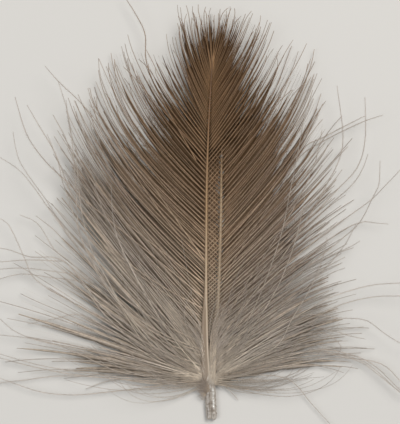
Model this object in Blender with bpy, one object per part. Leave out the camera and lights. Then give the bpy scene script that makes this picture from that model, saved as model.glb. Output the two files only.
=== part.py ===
# A small downy feather with an after-feather on the same quill, lying on its back plume.
# Millimetres here, scaled to metres when the mesh is placed. +Y runs from quill to tip,
# +Z is the front face, and the surface it lies on is z = 0.

import math

import bmesh
import bpy

MM = 0.001

# Quill: the centre line and radius of its left and its right lobe, from the cut end up.
QUILL_LOBES = (
    (
        (0.24, -25.10, 0.40, 0.22),
        (0.24, -24.80, 0.40, 0.36),
        (0.00, -22.90, 0.40, 0.37),
        (-0.02, -21.40, 0.44, 0.34),
        (0.30, -20.30, 0.52, 0.24),
        (0.50, -19.60, 0.62, 0.10),
    ),
    (
        (0.92, -25.25, 0.38, 0.20),
        (0.92, -24.95, 0.38, 0.36),
        (0.68, -22.90, 0.40, 0.37),
        (0.60, -21.40, 0.42, 0.33),
        (0.72, -20.30, 0.45, 0.24),
        (0.86, -19.60, 0.44, 0.10),
    ),
)

# Shafts: x, y, z of the centre line and its radius, from inside the quill to the tip.
MAIN_SHAFT = (
    (0.20, -21.60, 0.50, 0.34),
    (-0.12, -19.90, 0.72, 0.46),
    (-0.23, -17.60, 0.95, 0.46),
    (-0.27, -15.20, 1.12, 0.42),
    (-0.24, -12.60, 1.30, 0.34),
    (-0.17, -10.40, 1.44, 0.25),
    (-0.12, -7.60, 1.58, 0.18),
    (-0.10, -3.40, 1.70, 0.155),
    (-0.06, 4.00, 1.75, 0.135),
    (0.12, 11.30, 1.60, 0.10),
    (0.24, 17.40, 1.40, 0.05),
)
AFTER_SHAFT = (
    (0.60, -21.60, 0.44, 0.30),
    (0.74, -19.80, 0.42, 0.30),
    (0.92, -17.80, 0.38, 0.28),
    (1.12, -15.20, 0.36, 0.25),
    (1.41, -9.50, 0.35, 0.22),
    (1.60, -4.00, 0.35, 0.20),
    (1.71, 0.30, 0.35, 0.17),
    (1.77, 6.40, 0.35, 0.12),
    (1.85, 8.20, 0.35, 0.05),
)
SHAFT_SIDES = 2  # bevel resolution: an eight-sided tube
SHAFT_STEPS = 3  # rings between two of the points above

# Guide barbs, one for each pair of locks: height of the root on the shaft, then
# tip x, tip y and bend in degrees, first for the left lock and then for the right one.
MAIN_GUIDES = (
    (-20.4, (-23.6, -19.0, -2), (17.6, -19.0, -10)),
    (-20.1, (-24.2, -13.0, 6), (18.0, -15.2, -8)),
    (-19.7, (-23.2, -6.4, 12), (16.8, -11.6, -6)),
    (-18.9, (-19.6, 0.8, 13), (15.8, -9.6, -5)),
    (-16.6, (-17.8, 5.6, 14), (16.2, -5.4, 1)),
    (-12.8, (-16.9, 8.6, 18), (15.9, 0.2, 2)),
    (-8.8, (-16.2, 11.8, 26), (15.6, 8.1, 12)),
    (-4.5, (-14.9, 14.4, 24), (13.8, 13.4, 20)),
    (-0.6, (-13.1, 17.8, 30), (12.4, 17.3, 22)),
    (3.4, (-11.0, 20.2, 32), (11.3, 19.5, 18)),
    (7.2, (-8.0, 20.0, 24), (8.6, 20.4, 18)),
    (11.2, (-4.0, 22.4, 20), (6.6, 23.0, 14)),
    (15.4, (-1.6, 24.4, 14), (3.8, 24.4, 10)),
)
AFTER_GUIDES = (
    (-20.3, (-19.0, -18.6, -4), (18.8, -17.4, -12)),
    (-20.0, (-21.0, -11.0, 8), (17.8, -13.6, -10)),
    (-19.2, (-18.0, 1.4, 12), (16.2, -11.6, -8)),
    (-16.2, (-16.6, 5.4, 14), (16.0, -7.4, -4)),
    (-12.4, (-16.4, 8.8, 22), (16.5, -1.4, 2)),
    (-8.4, (-15.0, 11.6, 26), (16.3, 6.6, 8)),
    (-4.4, (-13.6, 13.6, 24), (14.9, 12.6, 16)),
    (-0.6, (-11.8, 16.6, 32), (13.0, 16.6, 22)),
    (3.0, (-9.3, 17.6, 26), (11.4, 18.6, 18)),
    (6.6, (-5.0, 16.4, 16), (7.4, 17.8, 12)),
)

WEB_SHARE = 0.42  # the share of a barb's length over which neighbouring locks are one vane
WEB_ROWS = 3
LOCK_ROWS = 5  # rows from the vane to a lock's tip
VALLEY = 0.30  # thickness between two locks, as a share of the crest's
BELLY = 0.35  # where along its length a lock is thickest
MAIN_THICK = (0.18, 0.50, 0.16)  # at the shaft, at the belly and at the tips
AFTER_THICK = (0.34, 0.46, 0.16)
MAIN_DROP = 0.12  # how far the main vane's underside is below its shaft's centre
MAIN_LIFT = (0.25, 1.55)  # least and most rise of a main lock's tip over its root
LIFT_TURN = 2.4  # radians from one lock to the next, so that neighbours differ

# Stray barbs: the guide pair and the side (-1 left, 1 right) of the main lock that each
# one leaves, then tip x, y, z and bend in degrees.
STRAYS = (
    (10, -1, (-10.1, 26.5, 1.2), -48),
    (6, -1, (-19.8, 17.9, 2.6), -12),
    (4, -1, (-23.5, 14.1, 3.2), 26),
    (5, -1, (-18.8, 11.9, 1.0), 8),
    (3, -1, (-23.7, 9.8, 2.2), 30),
    (3, -1, (-25.3, 6.9, 3.8), 10),
    (2, -1, (-26.1, -0.5, 1.6), 14),
    (2, -1, (-26.8, -5.2, 2.8), -34),
    (1, -1, (-26.6, -8.6, 0.9), -20),
    (1, -1, (-26.5, -13.2, 2.4), 16),
    (0, -1, (-26.8, -16.6, 1.4), 10),
    (0, -1, (-21.6, -22.0, 0.5), 30),
    (7, 1, (15.9, 15.5, 2.4), 46),
    (6, 1, (19.3, 14.1, 3.4), 44),
    (6, 1, (21.5, 11.9, 2.0), -18),
    (5, 1, (21.1, 6.3, 3.0), 36),
    (5, 1, (24.3, 5.9, 4.2), -8),
    (4, 1, (22.1, -1.4, 1.2), -30),
    (4, 1, (18.7, -3.5, 2.2), 16),
    (3, 1, (26.8, -7.9, 3.4), -34),
    (2, 1, (26.5, -10.2, 1.8), -30),
    (1, 1, (26.0, -17.0, 2.6), -44),
    (0, 1, (26.8, -23.4, 1.0), -46),
    (0, 1, (15.8, -26.6, 0.4), -52),
)
STRAY_START = 0.62  # how far along its lock a stray leaves it
STRAY_STEPS = 10
STRAY_RADIUS = (0.17, 0.05)


def clear_scene():
    for thing in list(bpy.data.objects):
        bpy.data.objects.remove(thing, do_unlink=True)


def blend(a, b, share):
    return a + (b - a) * share


def along_shaft(shaft, height):
    # x, z and radius of a shaft where its centre line passes the given y
    for low, high in zip(shaft, shaft[1:]):
        if height <= high[1] or high is shaft[-1]:
            break
    share = min(max((height - low[1]) / (high[1] - low[1]), 0.0), 1.0)
    return tuple(blend(low[i], high[i], share) for i in (0, 2, 3))


def barb_point(root, tip, bend, share):
    # A barb is an arc that leaves its root away from the feather's tip and bends to it.
    run, rise = tip[0] - root[0], tip[1] - root[1]
    side = math.copysign(1.0, run)
    half = math.radians(bend if abs(bend) > 1 else 1) / 2
    length = math.hypot(run, rise) * half / math.sin(half)
    leave = math.atan2(abs(run), rise) + half
    turned = leave - 2 * half * share
    x = length * (math.cos(turned) - math.cos(leave)) / (2 * half)
    y = length * (math.sin(leave) - math.sin(turned)) / (2 * half)
    return root[0] + side * x, root[1] + y


def guide_at(guides, place, side):
    # Root height, tip and bend at a place counted in locks, so that 0.5 is the first guide.
    index = min(max(int(place - 0.5), 0), len(guides) - 2)
    share = place - 0.5 - index
    low, high = guides[index], guides[index + 1]
    column = 1 if side < 0 else 2
    lock = [blend(a, b, share) for a, b in zip(low[column], high[column])]
    return blend(low[0], high[0], share), lock[:2], lock[2]


def plume_point(shaft, guides, place, reach):
    # place runs along the shaft in locks; reach is -1 at a left tip and 1 at a right one
    side = -1 if reach < 0 else 1
    height, tip, bend = guide_at(guides, place, side)
    root = along_shaft(shaft, height)[0], height
    return barb_point(root, tip, bend, abs(reach))


def tip_lift(place, side):
    least, most = MAIN_LIFT
    wave = 0.5 + 0.5 * math.sin(LIFT_TURN * place + side)
    return blend(least, most, wave)


def lock_thickness(thick, reach):
    root, belly, tip = thick
    if reach < BELLY:
        return blend(root, belly, reach / BELLY)
    return blend(belly, tip, (reach - BELLY) / (1 - BELLY))


def main_underside(place, reach):
    side = -1 if reach < 0 else 1
    height = guide_at(MAIN_GUIDES, place, side)[0]
    shaft_z = along_shaft(MAIN_SHAFT, height)[1]
    return shaft_z - MAIN_DROP + tip_lift(place, side) * reach * reach


def after_underside(place, reach):
    return 0.0


def new_object(name, mesh):
    thing = bpy.data.objects.new(name, mesh)
    bpy.context.scene.collection.objects.link(thing)
    return thing


def draw_comb(locks):
    # The plume as a flat comb: x counts locks along the shaft, y is the reach.
    comb = bmesh.new()
    bmesh.ops.create_grid(comb, x_segments=2 * locks, y_segments=2 * WEB_ROWS, size=1)
    for vert in comb.verts:
        vert.co.x = (vert.co.x + 1) * locks / 2
        vert.co.y *= WEB_SHARE
    for side in (-1, 1):
        for lock in range(locks):
            draw_lock(comb, lock + 0.5, side)
    return comb


def draw_lock(comb, centre, side):
    # Extrude the lock's two edges row by row, each row narrower, and close it to a tip.
    row = [
        edge
        for edge in comb.edges
        if all(
            abs(v.co.y - side * WEB_SHARE) < 1e-5 and abs(v.co.x - centre) < 0.51
            for v in edge.verts
        )
    ]
    for step in range(1, LOCK_ROWS + 1):
        share = step / LOCK_ROWS
        made = bmesh.ops.extrude_edge_only(comb, edges=row)["geom"]
        row = [part for part in made if isinstance(part, bmesh.types.BMEdge)]
        ends = [part for part in made if isinstance(part, bmesh.types.BMVert)]
        for vert in ends:
            away = vert.co.x - centre
            if abs(away) > 0.01:
                vert.co.x = centre + math.copysign(0.5 * (1 - share**1.4), away)
            vert.co.y = side * blend(WEB_SHARE, 1.0, share)
    bmesh.ops.remove_doubles(comb, verts=ends, dist=1e-4)


def make_vane(name, shaft, guides, underside, thickness):
    comb = draw_comb(len(guides))
    lower = list(comb.faces)
    made = bmesh.ops.extrude_face_region(comb, geom=lower)["geom"]
    for vert in (part for part in made if isinstance(part, bmesh.types.BMVert)):
        crest = abs(vert.co.x % 1 - 0.5) < 1e-4 or abs(vert.co.y) < 1e-4
        vert.co.z = 1.0 if crest else VALLEY
    for vert in comb.verts:
        place, reach, level = vert.co
        thick = level * lock_thickness(thickness, abs(reach))
        x, y = plume_point(shaft, guides, place, reach)
        vert.co = x, y, underside(place, reach) + thick
    bmesh.ops.recalc_face_normals(comb, faces=comb.faces)
    mesh = bpy.data.meshes.new(name)
    comb.to_mesh(mesh)
    comb.free()
    return new_object(name, mesh)


def make_tube(name, points, sides):
    # A round bar through points of x, y, z and radius, with closed ends.
    curve = bpy.data.curves.new(name, "CURVE")
    curve.dimensions = "3D"
    curve.bevel_depth = 1.0
    curve.bevel_resolution = sides
    curve.use_fill_caps = True
    line = curve.splines.new("POLY")
    line.points.add(len(points) - 1)
    for point, (x, y, z, radius) in zip(line.points, points):
        point.co = x, y, z, 1.0
        point.radius = radius
    return new_object(name, curve)


def smooth_line(points, steps):
    # Rings between the given points, on the curve that passes through all of them.
    line = []
    last = len(points) - 1
    for index in range(last):
        a, b, c, d = (points[min(max(index + k, 0), last)] for k in (-1, 0, 1, 2))
        for step in range(steps):
            t = step / steps
            line.append(
                tuple(
                    0.5
                    * (
                        2 * q
                        + (r - p) * t
                        + (2 * p - 5 * q + 4 * r - s) * t * t
                        + (3 * q - p - 3 * r + s) * t**3
                    )
                    for p, q, r, s in zip(a, b, c, d)
                )
            )
    return line + [points[last]]


def make_stray(number, guide, side, tip, bend):
    # A stray starts inside the lock that it leaves and thins to its own tip.
    place = guide + 0.5
    root = plume_point(MAIN_SHAFT, MAIN_GUIDES, place, side * STRAY_START)
    thick = lock_thickness(MAIN_THICK, STRAY_START)
    root_z = main_underside(place, side * STRAY_START) + thick / 2
    points = []
    for step in range(STRAY_STEPS + 1):
        share = step / STRAY_STEPS
        x, y = barb_point(root, tip[:2], bend, share)
        radius = blend(*STRAY_RADIUS, share)
        points.append((x, y, blend(root_z, tip[2], share * share), radius))
    return make_tube(f"stray_{number}", points, 0)


def down_material():
    material = bpy.data.materials.new("down")
    material.use_nodes = True
    shader = material.node_tree.nodes["Principled BSDF"]
    shader.inputs["Base Color"].default_value = (0.30, 0.235, 0.175, 1)
    shader.inputs["Roughness"].default_value = 0.7
    shader.inputs["Metallic"].default_value = 0.0
    return material


def as_mesh(thing, name):
    # The finished shape of a curve or a modified object, as a plain mesh object.
    graph = bpy.context.evaluated_depsgraph_get()
    mesh = bpy.data.meshes.new_from_object(thing.evaluated_get(graph))
    return new_object(name, mesh)


def fuse(name, pieces):
    # One closed body from overlapping ones: the first piece takes in the others.
    base = as_mesh(pieces[0], name)
    for piece in pieces[1:]:
        cutter = as_mesh(piece, piece.name + "_solid")
        union = base.modifiers.new("union", "BOOLEAN")
        union.operation = "UNION"
        union.solver = "EXACT"
        union.object = cutter
        cutter.hide_render = True
        cutter.display_type = "WIRE"
        whole = as_mesh(base, name + "_whole")
        base.modifiers.clear()
        base.data = whole.data
        for spent in (cutter, whole):
            bpy.data.objects.remove(spent, do_unlink=True)
    for piece in pieces:
        bpy.data.objects.remove(piece, do_unlink=True)
    return base


def make_feather():
    pieces = [
        make_vane("after_vane", AFTER_SHAFT, AFTER_GUIDES, after_underside, AFTER_THICK),
        make_tube("after_shaft", smooth_line(AFTER_SHAFT, SHAFT_STEPS), SHAFT_SIDES),
        make_tube("main_shaft", smooth_line(MAIN_SHAFT, SHAFT_STEPS), SHAFT_SIDES),
        make_tube("quill_left", smooth_line(QUILL_LOBES[0], SHAFT_STEPS), SHAFT_SIDES),
        make_tube("quill_right", smooth_line(QUILL_LOBES[1], SHAFT_STEPS), SHAFT_SIDES),
        make_vane("main_vane", MAIN_SHAFT, MAIN_GUIDES, main_underside, MAIN_THICK),
    ]
    for number, (guide, side, tip, bend) in enumerate(STRAYS):
        pieces.append(make_stray(number, guide, side, tip, bend))
    bpy.context.view_layer.update()
    feather = fuse("feather", pieces)
    for vert in feather.data.vertices:
        vert.co *= MM
    feather.data.materials.clear()
    feather.data.materials.append(down_material())
    feather.data.shade_smooth()
    feather.data.set_sharp_from_angle(angle=math.radians(40))
    return feather


clear_scene()
make_feather()
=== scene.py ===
import bmesh
import bpy
import numpy as np
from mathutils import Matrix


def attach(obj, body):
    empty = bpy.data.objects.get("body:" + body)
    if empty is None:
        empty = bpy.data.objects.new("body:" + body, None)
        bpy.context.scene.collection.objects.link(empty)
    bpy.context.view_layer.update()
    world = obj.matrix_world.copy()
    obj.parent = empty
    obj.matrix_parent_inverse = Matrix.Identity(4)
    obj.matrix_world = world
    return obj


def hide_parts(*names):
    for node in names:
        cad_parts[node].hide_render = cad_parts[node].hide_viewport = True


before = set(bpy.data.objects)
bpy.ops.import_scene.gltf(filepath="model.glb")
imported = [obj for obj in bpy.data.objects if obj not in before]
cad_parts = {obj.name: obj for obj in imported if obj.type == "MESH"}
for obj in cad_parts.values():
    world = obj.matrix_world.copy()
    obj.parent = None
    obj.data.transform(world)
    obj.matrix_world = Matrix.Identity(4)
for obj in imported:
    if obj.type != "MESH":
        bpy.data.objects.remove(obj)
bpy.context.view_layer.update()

# Lengths are in millimetres until a mesh is made. +Y runs from quill to tip, +Z is the front.
mm = 0.001
shot = {
    "pixel": 0.1222,  # millimetres to a pixel of the photograph
    "originX": 207.0,  # the pixel above the feather's origin
    "originY": 212.5,
    "centreX": 200.0,  # the photograph's middle
    "centreY": 212.0,
    "height": 424,  # the photograph's longer side
    "lens": 100.0,
    "sensor": 36.0,
}
cameraHeight = shot["height"] * shot["pixel"] * shot["lens"] / shot["sensor"]
# The photograph's middle from the feather's origin, in pixels.
middleX, middleY = shot["centreX"] - shot["originX"], shot["originY"] - shot["centreY"]

mainShaft = {
    "y": (-21.6, -19.9, -18.0, -16.2, -14.4, -12.5, -10.7, -8.2, -3.4, 4.0, 11.3, 17.4, 19.0),
    "x": (0.1, -0.12, -0.21, -0.27, -0.27, -0.24, -0.18, -0.12, -0.1, -0.03, 0.22, 0.58, 0.7),
    "z": (0.5, 0.72, 0.92, 1.09, 1.21, 1.33, 1.45, 1.55, 1.7, 1.75, 1.6, 1.4, 1.35),
    "radius": (0.34, 0.47, 0.48, 0.46, 0.43, 0.37, 0.27, 0.19, 0.165, 0.145, 0.11, 0.06, 0.03),
    # Where across the shaft the ridge with its painted highlight runs, from 0 in the middle to 1 at
    # its right edge.
    "ridgeY": (-20.5, -16.0, -12.0, -8.5),
    "highlightRidge": (0.85, 0.72, 0.55, 0.0),
    # How far apart the barbs of one side leave the shaft, by height.
    "rootY": (-20.6, -20.0, -19.4, -15.6, -13.1, -10.7, -7.0, -4.0, -0.9, 5.2, 10.0, 18.6),
    "apart": (0.05, 0.06, 0.25, 0.3, 0.37, 0.44, 0.53, 0.58, 0.6, 0.58, 0.4, 0.19),
}
afterShaft = {
    "y": (-21.6, -19.6, -18.0, -16.2, -13.7, -9.5, -4.0, 0.3, 6.4, 9.2),
    "x": (0.58, 0.6, 0.64, 0.74, 1.1, 1.41, 1.6, 1.71, 1.77, 1.87),
    "z": (0.44, 0.7, 0.86, 0.92, 0.72, 0.4, 0.37, 0.36, 0.36, 0.35),
    "radius": (0.3, 0.44, 0.5, 0.5, 0.34, 0.23, 0.21, 0.18, 0.12, 0.03),
    "ridgeY": (-20.5, -15.0, -10.0),
    "highlightRidge": (0.7, 0.6, 0.0),
    "rootY": (-20.6, -20.0, -19.4, -15.6, -13.1, -10.1, -7.0, -4.0, -0.9, 2.1, 5.2, 8.4),
    "apart": (0.05, 0.06, 0.25, 0.3, 0.38, 0.44, 0.47, 0.52, 0.57, 0.6, 0.62, 0.6),
}
vaneBase, vaneTip = -20.6, 18.6  # heights of the first and the last barb's root


def onShaft(shaft, y, key):
    return np.interp(y, shaft["y"], shaft[key])


def vaneHeight(y):  # 0 at the first barb's root and 1 at the last one's
    return (y - vaneBase) / (vaneTip - vaneBase)


# Guide barbs of each side: root height, tip x, tip y and bend in degrees. The lowest fan
# out from the top of the quill.
mainGuidesLeft = (
    (-20.6, -22, -20.6, -12), (-20.5, -24.6, -17.3, -8), (-20.35, -24.6, -13, -4),
    (-20.2, -23.6, -8.5, 0), (-20, -21.8, -4, 2), (-19.6, -19.8, 0.5, 2), (-18.6, -18.8, 2.5, 3),
    (-17.8, -18.3, 4.5, 3), (-16.2, -17.4, 6.2, 4), (-14.2, -17, 7.3, 6), (-11.8, -16.8, 9.2, 9),
    (-9.4, -16.4, 11.3, 15), (-7, -15.6, 12.9, 18), (-4.5, -14.9, 14.3, 16), (-2.1, -13.9, 16.2, 18),
    (0.4, -12.6, 18.8, 25), (2.8, -11.3, 20.2, 23), (5.2, -9.7, 20.6, 17), (7.6, -7.7, 20, 17),
    (9.6, -5.2, 19.6, 12), (10.4, -4.3, 21.8, 12), (12.6, -3.4, 23.2, 15), (15, -2.3, 23.9, 14),
    (17, -0.6, 24.3, 8), (18.6, 1.1, 24.4, 2),
)
mainGuidesRight = (
    (-20.6, 17, -19.6, -16), (-20.5, 18.5, -17, -16), (-20.35, 18, -14.4, -16),
    (-20.1, 17.2, -11.6, -14), (-18.8, 15.8, -10, -14), (-17.8, 15.8, -8, -12),
    (-15.6, 16.4, -4.2, -7), (-13.4, 16, -1, -4), (-11.1, 15.6, 3.4, 0), (-8.7, 15.6, 8.3, 8),
    (-6.4, 14.5, 10.9, 10), (-3.9, 13.3, 14.6, 15), (-1.4, 12.8, 16.8, 16), (0.9, 12, 17.9, 13),
    (3.4, 11.3, 19.5, 12), (5.7, 10, 20.3, 12), (7.6, 8.1, 20.4, 12), (8.6, 7.6, 21.6, 10),
    (10.1, 7, 22.5, 9), (12.5, 6.1, 23.3, 9), (14.7, 4.8, 23.9, 10), (17, 2.8, 24.3, 6),
    (18.6, 1.3, 24.4, 2),
)
afterGuidesLeft = (
    (-20.6, -14, -20.6, -10), (-20.5, -19, -18.4, -8), (-20.35, -22, -14.6, -5),
    (-20.2, -21.6, -9.6, -1), (-20, -20.4, -5, 1), (-19.5, -18, 2, 2), (-18.3, -16.6, 4.6, 3),
    (-16.3, -16.4, 5.6, 5), (-13.7, -16.4, 7.8, 8), (-11.2, -16.2, 10, 15), (-8.6, -15, 11.6, 18),
    (-6.2, -14.4, 12.6, 16), (-3.7, -13.4, 14, 18), (-1.3, -12.2, 16.6, 23), (1, -10.8, 17.4, 21),
    (3.4, -9, 17.6, 16), (5.6, -6.6, 17, 14), (8.4, -0.5, 15, 6),
)
afterGuidesRight = (
    (-20.6, 19.2, -19, -18), (-20.5, 18.6, -17, -16), (-20.35, 18.2, -14.8, -16),
    (-20.1, 17.4, -12.6, -15), (-19.1, 16.6, -13, -16), (-17.5, 15.8, -10.4, -13),
    (-16.3, 16, -7.6, -10), (-14.4, 16.5, -4, -6), (-11.9, 16.5, -0.6, -3), (-9.6, 16.3, 4.4, 2),
    (-7.1, 16.3, 9.6, 8), (-4.7, 15, 12.3, 10), (-2.3, 13.6, 15.4, 15), (0.2, 12.8, 17.2, 16),
    (2.5, 11.7, 18.4, 13), (4.9, 10.1, 19.4, 11), (7, 6.9, 17.6, 10), (8.4, 3.4, 17, 8),
)


class Wire:  # a shader socket that takes part in sums
    def __init__(self, tree, socket):
        self.tree, self.socket = tree, socket

    def math(self, operation, *others, **settings):
        settings["operation"] = operation
        return self.tree.node("Math", settings, dict(enumerate((self, *others))))

    def __add__(self, other):
        return self.math("ADD", other)

    def __sub__(self, other):
        return self.math("SUBTRACT", other)

    def __mul__(self, other):
        return self.math("MULTIPLY", other)

    def __rsub__(self, other):
        return self.tree.node("Math", {"operation": "SUBTRACT"}, {0: other, 1: self})

    __radd__, __rmul__ = __add__, __mul__

    def clamp(self):
        return self.math("ADD", 0.0, use_clamp=True)


class Finish:  # one material's node tree
    def __init__(self, name):
        self.material = bpy.data.materials.new(name)
        self.material.use_nodes = True
        self.nodes = self.material.node_tree.nodes
        self.links = self.material.node_tree.links
        self.shader = self.nodes["Principled BSDF"]

    def put(self, socket, value):
        if isinstance(value, Wire):
            self.links.new(value.socket, socket)
        elif socket.type == "RGBA":
            socket.default_value = linear(value)
        else:
            socket.default_value = value

    def node(self, kind, settings, values, out=0):
        made = self.nodes.new("ShaderNode" + kind)
        for key, value in settings.items():
            if key == "stops":
                for _ in value[2:]:
                    made.color_ramp.elements.new(0.5)
                for element, (place, colour) in zip(made.color_ramp.elements, value):
                    element.position, element.color = place, linear(colour)
            else:
                setattr(made, key, value)
        for key, value in values.items():
            self.put(made.inputs[key], value)
        return Wire(self, made.outputs[out])

    def ramp(self, factor, places, colours):
        return self.node("ValToRGB", {"stops": list(zip(places, colours))}, {0: factor})

    def between(self, value, low, high, least, most):
        # What runs from low to high runs from least to most instead.
        return self.node("MapRange", {}, {0: value, 1: low, 2: high, 3: least, 4: most})

    def mix(self, factor, a, b):
        return self.node("Mix", {"data_type": "RGBA"}, {0: factor, 6: a, 7: b}, 2)

    def barbValues(self):  # the three numbers that each vertex carries
        carried = self.node("Attribute", {"attribute_name": "barb"}, {}, 1)
        parts = self.node("SeparateXYZ", {}, {0: carried}).socket.node.outputs
        return [Wire(self, part) for part in parts]

    def shine(self, values):
        for key, value in values.items():
            self.put(self.shader.inputs[key], value)


def linear(colour):  # from 0 to 255, as a screen shows it, to the shader's numbers
    shown = (value / 255 for value in colour)
    return *(c / 12.92 if c <= 0.04045 else ((c + 0.055) / 1.055) ** 2.4 for c in shown), 1


def begin(plan):  # its random draws, and how far along a barb each of its rings is
    return np.random.default_rng(plan["seed"]), np.linspace(0, 1, plan["rings"])[None]


def walkedAlong(line):
    return np.r_[0, np.cumsum(np.linalg.norm(np.diff(line[:, :2], axis=0), axis=1))]


def smoothLine(points, count):
    # A curve through all the points, read at even steps along it.
    points = np.array(points, float)
    padded = np.vstack([points[0], points, points[-1]])
    a, b, c, d = (padded[i : i + len(points) - 1, None] for i in range(4))
    t = np.linspace(0, 1, 12, endpoint=False)[None, :, None]
    fine = 0.5 * (
        2 * b
        + (c - a) * t
        + (2 * a - 5 * b + 4 * c - d) * t**2
        + (3 * b - a - 3 * c + d) * t**3
    )
    fine = np.vstack([fine.reshape(-1, points.shape[1]), points[-1]])
    walked = walkedAlong(fine)
    steps = np.linspace(0, walked[-1], count)
    return np.stack([np.interp(steps, walked, column) for column in fine.T], 1)


def barShape(sides, rings, tip):
    # A bar along z from 0 to 1, of radius 1 at its root and of radius tip at its end, with a
    # ring of vertices at each step.
    shape = bmesh.new()
    bmesh.ops.create_cone(shape, cap_ends=True, segments=sides, radius1=1, radius2=tip, depth=1)
    if rings > 2:
        upright = [e for e in shape.edges if abs(e.verts[0].co.z - e.verts[1].co.z) > 0.5]
        bmesh.ops.subdivide_edges(shape, edges=upright, cuts=rings - 2)
    bmesh.ops.translate(shape, verts=shape.verts, vec=(0, 0, 0.5))
    shape.verts.index_update()
    spots = np.array([v.co[:] for v in shape.verts])
    faces = [[v.index for v in f.verts] for f in shape.faces]
    shape.free()
    return spots, faces


def normalised(vectors):
    return vectors / np.maximum(np.linalg.norm(vectors, axis=-1, keepdims=True), 1e-12)


def sideways(along):
    # Two directions square to each tangent: one lying flat and one standing up.
    flat = normalised(np.cross((0.0, 0.0, 1.0), along))
    return flat, np.cross(along, flat)


def placeStrands(lines, radius, sides, depth=None):
    # Bends one bar along every line. lines is (barbs, rings, 3), radius is (barbs, rings).
    depth = radius if depth is None else depth + 0 * radius
    rings = lines.shape[1]
    spots, faces = barShape(sides, rings, 1)
    ring = np.rint(spots[:, 2] * (rings - 1)).astype(int)
    flat, up = sideways(normalised(np.gradient(lines, axis=1)))
    flat, up = flat[:, ring], up[:, ring]
    grown = (
        lines[:, ring]
        + radius[:, ring, None] * (spots[:, 0, None] * flat)
        + depth[:, ring, None] * (spots[:, 1, None] * up)
    )
    return grown, faces, ring / (rings - 1), spots


def placeNeedles(roots, forward, length, width, depth):
    # One pointed needle at every root.
    spots, faces = barShape(3, 2, 0)
    flat, up = sideways(forward)
    grown = (
        roots[:, None]
        + width[:, None, None] * (spots[:, 0, None] * flat[:, None])
        + depth[:, None, None] * (spots[:, 1, None] * up[:, None])
        + length[:, None, None] * (spots[:, 2, None] * forward[:, None])
    )
    return grown, faces, spots


def addObject(name, data):
    added = bpy.data.objects.new(name, data)
    bpy.context.scene.collection.objects.link(added)
    return added


def joinCopies(name, groups):
    # One mesh from groups of copies: places, faces of one copy, and each vertex's marks.
    allSpots, allBarb, allBake, allCorners, allSizes = [], [], [], [], []
    start = 0
    for grown, faces, barb, bake in groups:
        copies, perCopy = grown.shape[:2]
        shift = start + perCopy * np.arange(copies)[:, None]
        for size in sorted({len(face) for face in faces}):
            same = np.array([face for face in faces if len(face) == size])
            corners = (shift[:, :, None] + same[None]).reshape(-1)
            allCorners.append(corners)
            allSizes.append(np.full(len(corners) // size, size))
        allSpots.append(grown.reshape(-1, 3))
        allBarb.append(barb.reshape(-1, 3))
        allBake.append(bake.reshape(-1, 2))
        start += copies * perCopy
    corners, sizes = np.concatenate(allCorners), np.concatenate(allSizes)
    mesh = bpy.data.meshes.new(name)
    mesh.vertices.add(start)
    mesh.vertices.foreach_set("co", np.concatenate(allSpots).ravel() * mm)
    mesh.loops.add(len(corners))
    mesh.loops.foreach_set("vertex_index", corners)
    mesh.polygons.add(len(sizes))
    mesh.polygons.foreach_set("loop_start", np.cumsum(sizes) - sizes)
    mesh.update(calc_edges=True)
    barb = mesh.attributes.new("barb", "FLOAT_VECTOR", "POINT")
    barb.data.foreach_set("vector", np.concatenate(allBarb).ravel())
    bakeMap = mesh.uv_layers.new(name="OFBake")
    bakeMap.data.foreach_set("uv", np.concatenate(allBake)[corners].ravel())
    mesh.shade_smooth()
    return addObject(name, mesh)


def joinSolid(name, grown, faces, barb):
    # One closed form, without a bake map.
    piece = joinCopies(name, [(grown, faces, barb, barb[:, :, :2])])
    piece.data.uv_layers.remove(piece.data.uv_layers["OFBake"])
    return piece


def settle(piece, material):
    piece.data.materials.clear()
    piece.data.materials.append(material)
    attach(piece, "root")
    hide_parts("feather")
    triangles = sum(len(face.vertices) - 2 for face in piece.data.polygons)
    print("made", piece.name, triangles, "triangles")


leastZ = 0.03  # nothing lies closer than this to the surface under the feather
bakeTones = 6  # steps of tone, each with its own column of the bake map


def stepped(tone):
    return (np.minimum((tone * bakeTones).astype(int), bakeTones - 1) + 0.5) / bakeTones


def barbMarks(height, along, tone, kind, nudgeX, nudgeY=0):
    # Each vertex's barb attribute and its spot on the bake map. Barbs of one tone, root
    # height and place along share a spot. kind is 0 for a barb, 1 for a close barbule and 2
    # for a deep one or felt.
    barb = np.broadcast_arrays(height, along + 2 * kind, tone, nudgeX)[:3]
    u = tone - 0.5 / bakeTones + (0.03 + 0.9 * np.clip(height, 0, 1) + nudgeX) / bakeTones
    v = (0.02 + 0.9 * along + nudgeY + kind) / 3
    return np.stack(barb, -1), np.stack(np.broadcast_arrays(u, v), -1)


def placeFelt(dice, height, tone, felt):
    # The matted barbules below the barbs, as one thin ragged strip to a barb, in the deep colour with
    # its painted shade.
    barbs, rings = felt["lines"].shape[:2]
    share = np.linspace(0, 1, rings)
    below = felt["lines"].copy()
    below[:, :, 2] = np.maximum(below[:, :, 2] - felt["drop"], leastZ)
    ragged = dice.uniform(1 - felt["ragged"], 1 + felt["ragged"], (barbs, rings))
    ends = dice.uniform(*felt["ends"], (barbs, 1))
    half = np.interp(share[None] / ends, felt["share"], felt["half"]) * ragged
    half = np.maximum(half * felt["by"][:, None], felt["half"][-1])
    grown, faces, along, spots = placeStrands(below, half, 4, felt["depth"])
    nudge = 0.01 * spots[:, 0] + 0.005 * spots[:, 1]
    return grown, faces, *barbMarks(height[:, None], along, tone[:, None], 2, nudge)


# The barbules that hang deep below their barb, with angles in degrees.
deepFluff = {"hang": -50, "roll": 10, "lean": 22, "flat": 0.3}


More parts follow.
